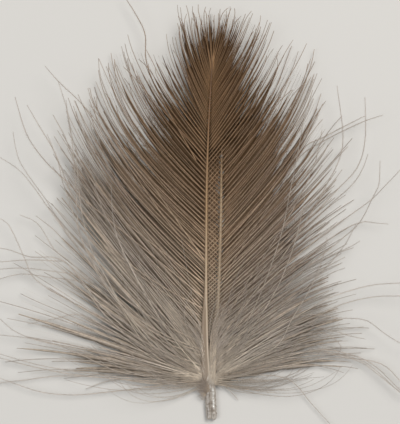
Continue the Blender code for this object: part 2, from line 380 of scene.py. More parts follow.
def growBarbs(name, lines, thick, height, tone, plan, felt=None):
    # The barbs' strands in one mesh with their barbules. Close barbules hug their barb and
    # thicken it, and deep ones hang below it in the gaps, darker with painted shade.
    dice = np.random.default_rng(plan["seed"] + 100)
    fluff = plan["fluff"]
    barbs, rings = lines.shape[:2]
    share = np.linspace(0, 1, rings)
    lines, tone = lines.copy(), stepped(tone)
    tip = fluff["tip"]
    radius = thick[:, None] * (tip + (1 - tip) * (1 - share[None]) ** 0.6)
    lines[:, :, 2] = np.maximum(lines[:, :, 2], radius + 0.01)
    grown, faces, along, spots = placeStrands(lines, radius, 3)
    around = np.arctan2(spots[:, 1], spots[:, 0]) / (2 * np.pi)
    known = height[:, None], along, tone[:, None], 0
    groups = [(grown, faces, *barbMarks(*known, 0.02 * around))]
    if felt is not None:
        groups.append(placeFelt(dice, height, tone, felt))

    length = np.linalg.norm(np.diff(lines, axis=1), axis=2).sum(1)
    counts = (length * fluff["perMm"]).astype(int)
    owner = np.repeat(np.arange(barbs), counts)
    number = np.arange(len(owner)) - np.repeat(np.cumsum(counts) - counts, counts)
    place = (number + dice.random(len(owner))) / counts[owner]
    place = fluff["bare"] + (1 - fluff["bare"]) * place ** fluff["inward"]
    deepShare = fluff["deepShare"] * np.clip((0.7 - place) / 0.35, 0, 1)
    deep = dice.random(len(owner)) < deepShare
    at = np.minimum(place * (rings - 1), rings - 1.001)
    low = at.astype(int)
    part = (at - low)[:, None]
    roots = lines[owner, low] * (1 - part) + lines[owner, low + 1] * part
    tangent = normalised(lines[owner, low + 1] - lines[owner, low])
    flat, up = sideways(tangent)
    hand = np.where(number % 2 == 0, 1.0, -1.0)[:, None]
    hang = np.where(deep, deepFluff["hang"], fluff["hang"])
    roll = dice.normal(hang, np.where(deep, deepFluff["roll"], fluff["roll"]))
    roll = np.radians(roll)[:, None]
    lean = dice.uniform(*fluff["lean"], len(owner)) + deepFluff["lean"] * deep
    lean = np.radians(lean)[:, None]
    out = hand * flat * np.cos(roll) + up * np.sin(roll)
    forward = normalised(tangent * np.cos(lean) + out * np.sin(lean))
    reach = np.where(deep, fluff["deepLength"], fluff["length"])
    reach *= dice.uniform(0.6, 1.15, len(owner))
    # They are shorter at both ends of the barb, and fade in its outer half.
    reach *= np.where(deep, 0.5, 0.6) + np.where(deep, 0.5, 0.4) * np.clip(place / 0.4, 0, 1)
    reach *= 0.5 + 0.5 * np.clip((1 - place) / 0.12, 0, 1)
    reach *= 1 - fluff["fade"] * np.clip((place - 0.4) / 0.4, 0, 1)
    # None reaches through the surface that the feather lies on.
    forward[:, 2] = np.maximum(forward[:, 2], (leastZ - roots[:, 2]) / reach)
    width = np.where(deep, fluff["deepWidth"], fluff["width"]) * (1 - 0.4 * place)
    depth = np.where(deep, deepFluff["flat"], 1) * width
    grown, faces, spots = placeNeedles(roots, forward, reach, width, depth)
    known = height[owner, None], place[:, None], tone[owner, None], 1 + deep[:, None]
    nudge = 0.01 * spots[None, :, 0], 0.02 * spots[None, :, 2]
    groups.append((grown, faces, *barbMarks(*known, *nudge)))
    return joinCopies(name, groups)


arcSteps = 60


def arcs(root, tip, bend, share):
    # Each barb leaves its root away from the feather's tip, and turns to it towards its end.
    run = tip - root
    side = np.where(run[:, 0] < 0, -1.0, 1.0)
    fine = np.linspace(0, 1, arcSteps + 1)
    turned = -np.radians(1.5 * bend)[:, None] * fine[None] ** 2.0
    turnedMid = (turned[:, 1:] + turned[:, :-1]) / 2
    stepX = np.c_[np.zeros(len(run)), np.cumsum(np.sin(turnedMid), 1) / arcSteps]
    stepY = np.c_[np.zeros(len(run)), np.cumsum(np.cos(turnedMid), 1) / arcSteps]
    reached = np.hypot(stepX[:, -1], stepY[:, -1])
    scale = (np.hypot(run[:, 0], run[:, 1]) / reached)[:, None]
    leave = np.arctan2(np.abs(run[:, 0]), run[:, 1]) - np.arctan2(stepX[:, -1], stepY[:, -1])
    cos, sin = np.cos(leave)[:, None], np.sin(leave)[:, None]
    x = side[:, None] * scale * (stepX * cos + stepY * sin)
    y = scale * (stepY * cos - stepX * sin)
    at = np.clip(share, 0, 1.12) * arcSteps
    low = np.minimum(at.astype(int), arcSteps - 1)
    part = at - low
    row = np.arange(len(run))[:, None]
    low = np.broadcast_to(low, (len(run), share.shape[-1]))
    x = x[row, low] * (1 - part) + x[row, low + 1] * part
    y = y[row, low] * (1 - part) + y[row, low + 1] * part
    return root[:, None, 0] + x, root[:, None, 1] + y


def drawTogether(dice, paths, lockSize, pull):
    # Neighbouring barbs lie parallel near the shaft and lean into small locks further out.
    lock = np.cumsum(dice.random(len(paths)) < 1 / lockSize)
    members = np.bincount(lock)[:, None]
    share = np.linspace(0, 1, paths.shape[1])[None]
    strength = pull * np.clip((share - 0.3) / 0.7, 0, 1) ** 1.5
    strength = strength * dice.uniform(0.4, 1.3, (len(paths), 1))
    for axis in (0, 1):
        whole = np.zeros((lock.max() + 1, paths.shape[1]))
        np.add.at(whole, lock, paths[:, :, axis])
        middle = (whole / np.maximum(members, 1))[lock]
        paths[:, :, axis] += (middle - paths[:, :, axis]) * strength
    return lock


def plumeBarbs(plan):
    # Centre lines of one side's barbs, from their roots on the shaft to their tips, and the
    # calm lines that its felt follows.
    dice, share = begin(plan)
    shaft, table = plan["shaft"], np.array(plan["guides"], float)
    fine = np.linspace(table[0, 0], table[-1, 0], 500)
    dense = 1 / np.interp(fine, shaft["rootY"], shaft["apart"])
    passed = np.r_[0, np.cumsum((dense[1:] + dense[:-1]) / 2 * np.diff(fine))]
    count = int(passed[-1])
    root = np.interp(np.arange(count) + dice.normal(0.5, 0.05, count), passed, fine)
    tipX, tipY, bend = (np.interp(root, table[:, 0], table[:, i]) for i in (1, 2, 3))
    height = vaneHeight(root)
    flank = plan["flank"] * onShaft(shaft, root, "radius") * np.sign(tipX)
    flank += np.interp(root, *plan["webBy"])
    roots = np.stack([onShaft(shaft, root, "x") + flank, root], 1)
    tips = np.stack([tipX, tipY], 1)
    size = np.clip(dice.normal(plan["full"], plan["uneven"], count), 0.45, 1.05)
    x, y = arcs(roots, tips, bend, plan["full"] * share + np.zeros((count, 1)))
    calm = np.stack([x, y, np.zeros_like(x)], 2)
    bend = bend + plan["bends"] * dice.normal(0, 1, count)
    x, y = arcs(roots, tips, bend, share * size[:, None])
    paths = np.stack([x, y, np.zeros_like(x)], 2)
    lock = drawTogether(dice, paths, plan["lockSize"], plan["pull"])
    loose = plan["loose"] * (0.6 + 0.9 * (1 - np.clip(height, 0, 1)) ** 1.5)
    wildShare, wildly = plan["wild"]
    for axis in (0, 1):
        together = dice.normal(0, plan["together"], lock.max() + 1)[lock]
        alone = dice.normal(0, plan["alone"], count)
        wild = (dice.random(count) < wildShare) * dice.normal(0, wildly, count)
        amount = loose * (together + alone + wild)
        paths[:, :, axis] += amount[:, None] * share**2.2
    wave = plan["wave"] * share**1.5
    for turns in (1.1, 2.7):
        phase = dice.uniform(0, 2 * np.pi, (count, 1))
        amount = dice.normal(0, 1 / turns, (count, 1))
        paths[:, :, 0] += wave * amount * np.sin(turns * np.pi * share + phase)
        paths[:, :, 1] += 0.5 * wave * amount * np.cos(turns * np.pi * share + phase)
    rootZ = onShaft(shaft, root, "z")[:, None]
    rise = plan["rise"] + plan["rises"] * (
        0.7 * dice.normal(0, 1, lock.max() + 1)[lock] + 0.5 * dice.normal(0, 1, count)
    )
    paths[:, :, 2] = np.maximum(rootZ + rise[:, None] * share**1.7, 0.05)
    calm[:, :, 2] = rootZ + plan["rise"] * share**1.7
    thick = plan["thick"] * (1 - 0.3 * height) * dice.uniform(0.8, 1.15, count)
    tone = dice.random(count) * np.interp(height, *plan["toneBy"])
    curl = dice.normal(0, plan["curl"], (count, 1))
    paths[:, :, 0] += np.clip((share - 0.86) / 0.14, 0, 1) ** 2 * curl
    return paths, calm, thick, height, tone


down = {
    # Colours at these heights, from the quill at 0 to the tip at 1: barbs near the shaft,
    # barbs further out, and the barbules in the gaps below them, their own brown darkened with painted
    # shade.
    "heights": (0.0, 0.13, 0.385, 0.6, 0.9),
    "near": ((212, 200, 183), (210, 195, 177), (190, 166, 140), (168, 139, 110), (154, 121, 87)),
    "far": ((208, 198, 188), (194, 182, 171), (170, 149, 130), (152, 126, 102), (140, 112, 85)),
    "deep": ((190, 176, 160), (172, 157, 142), (134, 112, 90), (110, 86, 62), (86, 62, 40)),
    "ends": (176, 166, 156),  # the outer ends, mostly at the base
    "close": (0.71, 0.68, 0.65),  # close barbules' colour as a share of the barb's
    "tones": (0.82, 1.13),
    "grain": (0.84, 1.16),
    "gloss": {"Roughness": 0.55, "Specular IOR Level": 0.2},
}


def makeDown():
    made = Finish("down")
    height, place, tone = made.barbValues()
    barbule = place.math("GREATER_THAN", 1.5)
    deep = place.math("GREATER_THAN", 3.5)
    along = place - barbule * 2 - deep * 2
    near, far, gaps = (
        made.ramp(height, down["heights"], down[key]) for key in ("near", "far", "deep")
    )
    colour = made.mix((along * 1.6).clamp(), near, far)
    pale = (along - 0.55) * (1 - height) * 1.2
    colour = made.mix(pale.clamp(), colour, down["ends"])
    close = made.node("VectorMath", {"operation": "MULTIPLY"}, {0: colour, 1: down["close"]})
    # The painted shade in the gaps gives way to the close barbules' colour next to the shafts.
    gaps = made.mix(((0.22 - along) * 3).clamp(), gaps, close)
    colour = made.mix(barbule, colour, close)
    # Deep barbules and felt take the gap colour with its painted shade.
    colour = made.mix(deep, colour, gaps)
    spread = made.node("CombineXYZ", {}, {0: height * 25, 1: along * 45, 2: tone * 9})
    grain = made.node("TexNoise", {}, {0: spread, 2: 1.0, 3: 2.0})
    grain = made.between(grain, 0.3, 0.7, *down["grain"])
    shade = made.between(tone, 0.0, 1.0, *down["tones"])
    # Paler again right at the shafts, apart from the base and the tip.
    middle = (height * 5 - 0.5).clamp() * ((0.78 - height) * 6).clamp()
    shade = shade * grain * (((0.1 - along) * 12).clamp() * middle * 0.4 + 1)
    colour = made.node("VectorMath", {"operation": "SCALE"}, {0: colour, 3: shade})
    made.shine({"Base Color": colour, **down["gloss"]})
    return made.material


# Barbules: how many to a millimetre, the barb's bare start, the share that hangs deep,
# angles in degrees, lengths and widths in millimetres, and how they thin out along the barb.
shortFluff = {
    "perMm": 28, "bare": 0.04, "deepShare": 0.3, "hang": -15, "roll": 22,
    "lean": (14, 34), "length": 0.24, "width": 0.012, "deepLength": 0.6,
    "deepWidth": 0.03, "inward": 1.0, "fade": 0.35, "tip": 0.58,
}
mattedFluff = {
    **shortFluff, "perMm": 21, "bare": 0.0, "deepShare": 0.5, "deepLength": 0.75,
    "deepWidth": 0.045,
}
feltPlan = {
    "drop": 0.22,
    "depth": 0.012,
    "ragged": 0.35,
    "ends": (0.62, 1.28),  # some strips end well before the others
    "share": (0.0, 0.03, 0.3, 0.5, 0.7, 0.85, 1.0),
    "half": (0.1, 0.28, 0.35, 0.26, 0.11, 0.02, 0.004),
}
plume = {
    "rings": 20,
    "thick": 0.068,
    "flank": 0.7,  # how far out on the shaft the barbs root, as a share of its radius
    "bends": 1.3,  # how much neighbours' bends differ, in degrees
    "wave": 0.18,
    "together": 0.5,  # how much a lock strays, and each barb in it
    "alone": 0.9,
    "wild": (0.15, 2.2),  # the share of barbs that stray further, and how much
    "curl": 0.25,  # of the tips, to one side or the other
    "lockSize": 2.5,  # barbs in a lock, and how far they lean together
    "pull": 0.04,
    "feltBy": ((0.0, 1.0), (1.0, 1.0)),  # the felt's share of its width, by height
    "toneBy": ((0.0, 1.0), (1.0, 1.0)),  # the palest tone, by height
    "webBy": ((0.0, 1.0), (0.0, 0.0)),  # how far right of the shaft they root, by y
}
plumePlans = {
    "mainBarbsLeft": {
        **plume, "shaft": mainShaft, "guides": mainGuidesLeft,
        "seed": 11, "loose": 0.42, "full": 0.94, "uneven": 0.12,
        "rise": 0.45, "rises": 0.25,
        "feltBy": ((0.0, 0.22, 0.36, 0.62, 0.72, 1.0), (1.0, 0.9, 0.0, 0.0, 0.6, 0.3)),
        "fluff": {**shortFluff, "perMm": 19},
    },
    "mainBarbsRight": {
        **plume, "shaft": mainShaft, "guides": mainGuidesRight,
        "seed": 12, "loose": 0.42, "full": 0.94, "uneven": 0.12,
        "rise": 0.4, "rises": 0.3, "toneBy": ((0.0, 0.1, 0.3), (0.0, 0.0, 1.0)),
        "feltBy": ((0.0, 0.08, 0.13, 0.62, 0.72, 1.0), (1.0, 0.9, 0.0, 0.0, 0.6, 0.3)),
        # At the base these barbs leave the far edge of the web between the shafts.
        "webBy": ((-20.6, -17.2, -14.6), (0.75, 0.85, 0.0)),
        "fluff": {**shortFluff, "perMm": 23, "bare": 0.14},
    },
    "afterBarbsLeft": {
        **plume, "shaft": afterShaft, "guides": afterGuidesLeft,
        "seed": 13, "loose": 0.5, "full": 0.92, "uneven": 0.17,
        "rise": -0.05, "rises": 0.2, "toneBy": ((0.0, 0.3), (0.5, 1.0)),
        "fluff": mattedFluff,
    },
    "afterBarbsRight": {
        **plume, "shaft": afterShaft, "guides": afterGuidesRight,
        "seed": 14, "loose": 0.5, "full": 0.92, "uneven": 0.16,
        "rise": 0.1, "rises": 0.25, "toneBy": ((0.0, 0.3), (0.1, 1.0)),
        "fluff": mattedFluff,
    },
}


def makePlumes(material):
    # The after-feather's felt lies below both vanes. The main vane has its own at the base
    # and above the after-feather's end.
    for name, plan in plumePlans.items():
        lines, calm, thick, height, tone = plumeBarbs(plan)
        felt = {**feltPlan, "by": np.interp(height, *plan["feltBy"]), "lines": calm}
        settle(growBarbs(name, lines, thick, height, tone, plan, felt), material)


# Stray barbs: the tip's height in millimetres, then x,y pairs along the barb in the
# photograph's pixels, from the root out.
strayPaths = (
    # To the left.
    (1.2, 196,160, 172,118, 155,86, 146,60, 145,34, 135,13, 124,-4),
    (2.6, 205,262, 170,225, 135,175, 103,130, 81,103, 58,81, 45,66),
    (3.2, 206,300, 160,262, 115,225, 85,200, 66,181, 46,162, 27,135, 15,97),
    (2.4, 206,310, 160,285, 120,255, 78,205, 65,178, 54,151, 38,124, 27,105),
    (1.2, 206,285, 160,250, 118,215, 80,173, 73,157, 64,135, 53,115),
    (2.2, 208,345, 165,325, 120,295, 90,262, 65,230, 46,200, 20,162, 13,132),
    (1.4, 207,320, 160,290, 115,255, 85,222, 65,189, 58,162, 47,134),
    (3.6, 209,352, 165,335, 120,305, 95,270, 54,216, 35,189, 19,170, -4,155),
    (1.6, 209,355, 150,330, 105,285, 73,251, 54,230, 36,216),
    (1.0, 209,358, 150,335, 100,290, 70,262, 54,249, 38,224, 20,215),
    (1.6, 210,372, 160,355, 110,325, 68,300, 35,279, 24,257, 8,224, -5,218),
    (2.6, 210,368, 150,345, 105,310, 65,262, 30,257, 10,250, -9,247),
    (2.0, 210,370, 150,350, 105,315, 70,266, 54,261, 27,260, 0,262, -11,262),
    (1.2, 211,372, 160,355, 108,295, 76,281, 54,278, 22,274, 0,279, -11,282),
    (1.8, 211,371, 160,352, 110,300, 80,277, 50,271, 20,268, -8,270),
    (0.8, 211,374, 160,362, 120,335, 81,315, 54,319, 28,324),
    (2.2, 211,375, 160,372, 122,365, 81,351, 40,341, 16,332, 0,319, -10,310),
    (1.4, 212,376, 165,376, 120,372, 75,352, 40,340, 0,335, -10,334),
    (1.3, 212,377, 162,379, 108,376, 54,368, 27,362, 0,354, -11,350),
    (0.9, 212,377, 170,381, 120,379, 70,374, 30,366, 0,358, -11,356),
    (0.5, 212,378, 170,384, 130,380, 108,381, 86,389),
    (0.8, 212,379, 180,382, 143,388, 108,392, 73,395, 41,392, 13,383, -11,374),
    (0.6, 212,378, 160,384, 110,378, 60,376, 25,380, 0,383, -11,386),
    (3.0, 206,262, 180,225, 151,184, 122,151, 108,127, 93,103, 88,88),
    (3.4, 200,376, 151,352, 108,284, 81,238, 76,189, 73,151, 68,114, 58,81),
    (3.0, 208,377, 173,360, 135,322, 108,287, 87,252, 74,216, 65,189),
    (2.6, 206,330, 140,250, 100,200, 81,162, 70,130, 66,100),
    (3.0, 209,366, 178,332, 147,295, 127,259, 116,235, 103,210, 94,184),
    (3.6, 204,374, 160,352, 127,314, 108,281, 92,251, 82,214, 78,178, 76,150),
    (3.2, 203,374, 173,338, 141,287, 116,233, 111,184),
    # To the right.
    (2.4, 216,345, 240,310, 280,260, 310,215, 327,184, 339,160, 343,135, 337,86),
    (3.4, 217,330, 245,290, 280,250, 314,214, 338,189, 357,168, 365,141, 365,97),
    (2.0, 219,285, 250,235, 280,190, 300,157, 320,143, 345,130, 365,121, 383,115),
    (1.6, 220,262, 240,240, 265,205, 290,170, 306,146, 320,139, 345,126, 365,116),
    (2.2, 218,320, 260,275, 300,235, 330,205, 352,185, 362,170, 368,154),
    (3.0, 217,345, 270,300, 310,265, 343,238, 360,222, 373,197, 379,184, 380,161),
    (4.0, 216,345, 250,300, 290,262, 325,233, 349,216, 371,200, 384,187, 405,165),
    (1.2, 216,350, 270,290, 310,255, 340,232, 362,222, 375,223, 388,224),
    (2.2, 216,355, 260,305, 300,272, 330,256, 350,247, 360,241),
    (1.4, 216,358, 262,312, 300,283, 325,268, 345,257),
    (1.8, 215,360, 270,318, 305,290, 330,274, 345,268),
    (3.2, 214,365, 270,332, 306,311, 327,299, 349,291, 373,285, 400,283, 425,282),
    (1.8, 214,368, 270,340, 311,322, 325,312, 346,303, 373,297, 400,296, 423,297),
    (2.4, 214,368, 270,328, 306,315, 338,318, 365,320, 384,333, 400,343, 418,351),
    (1.2, 214,370, 260,340, 300,326, 330,330, 350,336, 365,339),
    (1.0, 214,377, 251,365, 292,354, 325,352, 360,360, 379,373, 400,392, 425,404),
    (1.3, 214,376, 280,358, 320,350, 352,355, 375,366, 398,388, 418,403),
    (0.8, 214,378, 290,365, 330,358, 365,360, 385,366, 400,381, 412,396),
    (1.5, 214,376, 270,362, 322,354, 358,361, 380,376, 404,396),
    (1.4, 214,374, 260,352, 295,338, 318,333, 333,338, 341,347, 336,354, 322,352),
    (0.4, 214,379, 235,377, 259,375, 281,377, 295,384, 311,403, 330,424, 336,430),
    (0.5, 215,379, 235,379, 255,380, 276,381),
    (0.3, 216,379, 222,384, 230,391, 238,400),
    (3.4, 214,373, 240,335, 262,290, 281,235, 289,197, 296,162, 301,135, 305,113),
    (3.0, 214,377, 273,349, 292,319, 311,287, 322,260, 327,238),
    (3.2, 215,368, 250,330, 276,290, 291,254, 300,222, 306,190),
    (2.6, 216,352, 258,322, 296,296, 322,272, 344,246, 356,224),
    (2.8, 217,330, 255,270, 290,215, 311,173, 318,151, 322,130),
)
strays = {
    "seed": 31,
    "rings": 40,
    "thick": 0.064,
    "fluff": {
        **shortFluff, "perMm": 20, "deepShare": 0.0, "hang": 0, "roll": 50,
        "lean": (22, 62), "length": 0.42, "width": 0.01, "inward": 0.9, "fade": 0.0,
        "tip": 0.4,
    },
}


def fromPhoto(x, y, z):
    # The place whose picture falls on a pixel, for a point z above the surface.
    nearer = 1 - z / cameraHeight
    across = middleX + (x - shot["centreX"]) * nearer
    upward = middleY + (shot["centreY"] - y) * nearer
    return across * shot["pixel"], upward * shot["pixel"], z


def makeStrays(material):
    dice = np.random.default_rng(strays["seed"])
    lines, height = [], []
    for tipZ, *path in strayPaths:
        path = list(zip(path[::2], path[1::2]))
        rootY = (shot["originY"] - path[0][1]) * shot["pixel"]
        shaft = mainShaft if path[-1][0] < shot["originX"] else afterShaft
        rootZ = float(onShaft(shaft, rootY, "z"))
        points = []
        for number, (x, y) in enumerate(path):
            share = number / (len(path) - 1)
            points.append(fromPhoto(x, y, rootZ + (tipZ - rootZ) * share**1.3))
        lines.append(smoothLine(points, strays["rings"]))
        height.append(vaneHeight(points[0][1]))
    lines, height = np.array(lines), np.clip(height, 0, 1)
    thick = strays["thick"] * dice.uniform(0.85, 1.15, len(lines))
    tone = dice.uniform(0.6, 1, len(lines))
    settle(growBarbs("strayBarbs", lines, thick, height, tone, strays), material)


fan = {
    "seed": 41,
    "count": 150,
    "rings": 24,
    "thick": 0.031,
    "wave": 0.26,
    "root": (-20.9, -17.2),  # heights between which these barbs leave the shafts
    "rootZ": 0.62,
    "rise": (-0.2, 1.6),
    # How many more lie over the web between the shafts and hide its edges, and the heights
    # of their roots, their lengths and how far they rise.
    "over": 92,
    "overRoot": (-21.0, -15.0),
    "overLength": (2.5, 7.0),
    "overRise": (0.0, 0.5),
    "overTurn": 22,  # degrees outwards at a shaft's edge
    "fluff": {
        **shortFluff, "perMm": 10, "deepShare": 0.1, "roll": 40, "length": 0.4,
        "deepWidth": 0.026,
    },
}


def onOwnShaft(left, y, key):  # the main shaft's for those on the left
    return np.where(left, onShaft(mainShaft, y, key), onShaft(afterShaft, y, key))


def shaftDepth(radius):  # the thick parts of a shaft are flatter
    return np.minimum(radius, 0.1 + 0.3 * radius)


def webHairs(dice, share):
    # Fine hairs that leave the top of the web and run up along the shafts.
    count = fan["over"]
    root = dice.uniform(*fan["overRoot"], count)
    across = dice.uniform(-1, 1, count)
    mainX, afterX = onShaft(mainShaft, root, "x"), onShaft(afterShaft, root, "x")
    x, z, radius = (onOwnShaft(across < 0, root, key) for key in ("x", "z", "radius"))
    across = across * dice.uniform(0.6, 1, count)
    # A third of them fill the gap between the shafts.
    inside = np.arange(count) % 3 == 0
    gap = dice.uniform(0.55, 0.95, count)
    x = np.where(inside, (1 - gap) * mainX + gap * afterX + 0.05, x)
    across = np.where(inside, 0.35 * np.abs(across), across)
    z = z + shaftDepth(radius) * np.sqrt(1 - across**2) + 0.04 * inside
    radius = np.where(inside, 0.1, radius)
    turn = np.radians(across * fan["overTurn"] + dice.normal(0, 5, count))[:, None]
    turn = turn + 0.35 * np.sign(across)[:, None] * share
    length = dice.uniform(*fan["overLength"], (count, 1)) * share
    swing = 0.05 * np.sin(dice.uniform(2, 7, (count, 1)) * share + 6 * across[:, None])
    x = (x + across * radius)[:, None] + length * np.sin(turn) + swing * share
    y = root[:, None] + length * np.cos(turn)
    z = z[:, None] + dice.uniform(*fan["overRise"], (count, 1)) * share**1.5
    return np.stack([x, y, z], 2)


def makeBaseFan(material):
    # Loose pale barbs that spring from the top of the quill on every side.
    (dice, share), count = begin(fan), fan["count"]
    side = np.where(np.arange(count) % 2 == 0, -1.0, 1.0)
    spread = dice.random(count)
    low, high = fan["root"]
    root = low + (high - low) * (1 - spread) ** 1.2 * dice.uniform(0.5, 1, count)
    angle = np.radians(12 + 80 * spread + dice.normal(0, 5, count))
    length = 7 + 11 * dice.random(count) ** 1.5
    roots = np.stack([onOwnShaft(side < 0, root, "x"), root], 1)
    tips = roots + length[:, None] * np.stack([side * np.sin(angle), np.cos(angle)], 1)
    bend = 24 + 14 * dice.normal(0, 1, count)
    x, y = arcs(roots, tips, bend, share * np.ones((count, 1)))
    wave = fan["wave"] * share**1.5
    for turns in (0.9, 2.3, 5.1):
        phase = dice.uniform(0, 2 * np.pi, (count, 1))
        x = x + wave / turns * np.sin(turns * np.pi * share + phase)
        y = y + wave / turns * np.cos(turns * np.pi * share + phase)
    z = fan["rootZ"] + dice.uniform(*fan["rise"], (count, 1)) * share**0.8
    paths = np.concatenate([np.stack([x, y, z], 2), webHairs(dice, share)])
    count = len(paths)
    thick = fan["thick"] * dice.uniform(0.8, 1.2, count)
    height = np.clip(dice.normal(0.05, 0.05, count), 0, 0.2)
    tone = dice.random(count) * np.where(paths[:, -1, 0] > 0.5, 0.5, 1.0)
    tone[fan["count"] :] = dice.uniform(0.7, 1, fan["over"])
    settle(growBarbs("baseFan", paths, thick, height, tone, fan), material)


fuzz = {
    "seed": 61,
    "count": 180,
    "rings": 10,
    "thick": 0.022,
    "x": (-0.4, 0.3),  # the quill's left half
    "y": (-22.9, -21.0),
    "turn": (15, 70),  # degrees to the left of straight up the feather
    "length": (0.5, 1.7),
    "fluff": {
        **shortFluff, "perMm": 10, "deepShare": 0.0, "roll": 60, "length": 0.2, "width": 0.008,
    },
}


def makeFuzz(material):
    # Short brown down on the left flank of the quill.
    (dice, share), count = begin(fuzz), fuzz["count"]
    y = dice.uniform(*fuzz["y"], (count, 1))
    x = np.linspace(*fuzz["x"], 9)[dice.integers(0, 9, count)][:, None]
    turn = np.radians(dice.uniform(*fuzz["turn"], (count, 1)))
    turn = turn + np.radians(dice.normal(0, 18, (count, 1))) * share
    length = dice.uniform(*fuzz["length"], (count, 1)) * share
    rise = dice.uniform(-0.1, 0.5, (count, 1)) * share
    # Those further right lie on top of the quill, and only near the shafts.
    over = np.clip((x - fuzz["x"][0]) / 0.6, 0, 1)
    y = y + over * (fuzz["y"][1] - y) * 0.6
    z = 0.35 + 0.48 * over + dice.uniform(0, 0.25, (count, 1)) * (1 - 0.5 * over) + rise
    paths = np.stack([x - length * np.sin(turn), y + length * np.cos(turn), z], 2)
    thick = fuzz["thick"] * dice.uniform(0.7, 1.2, count)
    height = np.clip(dice.normal(0.17, 0.08, count), 0.05, 0.5)
    tone = dice.uniform(0.5, 1, count)
    settle(growBarbs("quillFuzz", paths, thick, height, tone, fuzz), material)


shafts = {
    "sides": 28,
    "rings": 150,
    "streak": (0.9, 1.08),
    "ridgeHalf": 0.085,  # half the width of the pale ridge, in millimetres
    "ridgeLift": 0.05,
    "gloss": {"Roughness": 0.4, "Coat Weight": 0.1, "Coat Roughness": 0.25},
}
# Colours by height. "pale" is the ridge's colour with a painted highlight on the shaft's upper right,
# and "flank" is the shaft's colour with painted shade on its left side.
mainShaft["heights"] = (0.0, 0.1, 0.3, 0.55, 0.8, 1.0)
mainShaft["pale"] = (
    (190, 178, 160), (212, 198, 180), (200, 182, 156), (166, 137, 100), (126, 93, 58), (92, 64, 40),
)
mainShaft["flank"] = (
    (156, 142, 127), (143, 127, 110), (142, 120, 96), (136, 106, 74), (106, 76, 48), (88, 60, 36),
)
afterShaft["heights"] = (0.0, 0.1, 0.3, 0.55, 0.7, 1.0)
afterShaft["pale"] = (
    (184, 172, 156), (188, 175, 156), (204, 187, 162), (198, 174, 142), (176, 148, 114), (112, 84, 56),
)
afterShaft["flank"] = (
    (174, 162, 146), (170, 156, 138), (172, 153, 130), (160, 136, 108), (140, 113, 84), (96, 70, 46),
)


def makeShaftFinish(name, shaft):
    made = Finish(name)
    height, highlightRidge, _ = made.barbValues()
    pale, flank = (made.ramp(height, shaft["heights"], shaft[key]) for key in ("pale", "flank"))
    # The flank's painted shade, and the painted highlight along the ridge.
    colour = made.mix(highlightRidge, flank, pale)
    spot = made.node("TexCoord", {}, {}, 3)
    stretched = made.node("Mapping", {}, {0: spot, 3: (9000.0, 900.0, 9000.0)})
    streak = made.node("TexNoise", {}, {0: stretched, 2: 1.0, 3: 4.0})
    shade = made.between(streak, 0.3, 0.7, *shafts["streak"])
    colour = made.node("VectorMath", {"operation": "SCALE"}, {0: colour, 3: shade})
    bump = made.node("Bump", {}, {"Strength": 0.3, "Distance": 0.00003, "Height": streak})
    made.shine({"Base Color": colour, "Normal": bump, **shafts["gloss"]})
    return made.material


def makeShafts():
    for name, shaft in (("mainShaft", mainShaft), ("afterShaft", afterShaft)):
        points = np.stack([shaft[key] for key in ("x", "y", "z", "radius")], 1)
        line = smoothLine(points, shafts["rings"])[None]
        radius = line[:, :, 3]
        grown, faces, along, spots = placeStrands(
            line[:, :, :3], radius, shafts["sides"], shaftDepth(radius)
        )
        ring = np.rint(along * (shafts["rings"] - 1)).astype(int)
        y = line[0, ring, 1]
        # The ridge's mask: it lifts the ridge a little and carries the painted highlight, on the upper
        # side only.
        off = np.interp(y, shaft["ridgeY"], shaft["highlightRidge"]) + spots[:, 0]
        highlightRidge = np.exp(-((off * radius[0, ring] / shafts["ridgeHalf"]) ** 2))
        highlightRidge = highlightRidge * np.clip((spots[:, 1] + 0.2) / 0.5, 0, 1)
        grown[0, :, 2] += shafts["ridgeLift"] * highlightRidge * (radius[0, ring] > 0.2)
        height = np.clip((y + 21.0) / 39.0, 0, 1)
        barb = np.stack([height, highlightRidge, 0 * highlightRidge], 1)[None]
        settle(joinSolid(name, grown, faces, barb), makeShaftFinish(name, shaft))


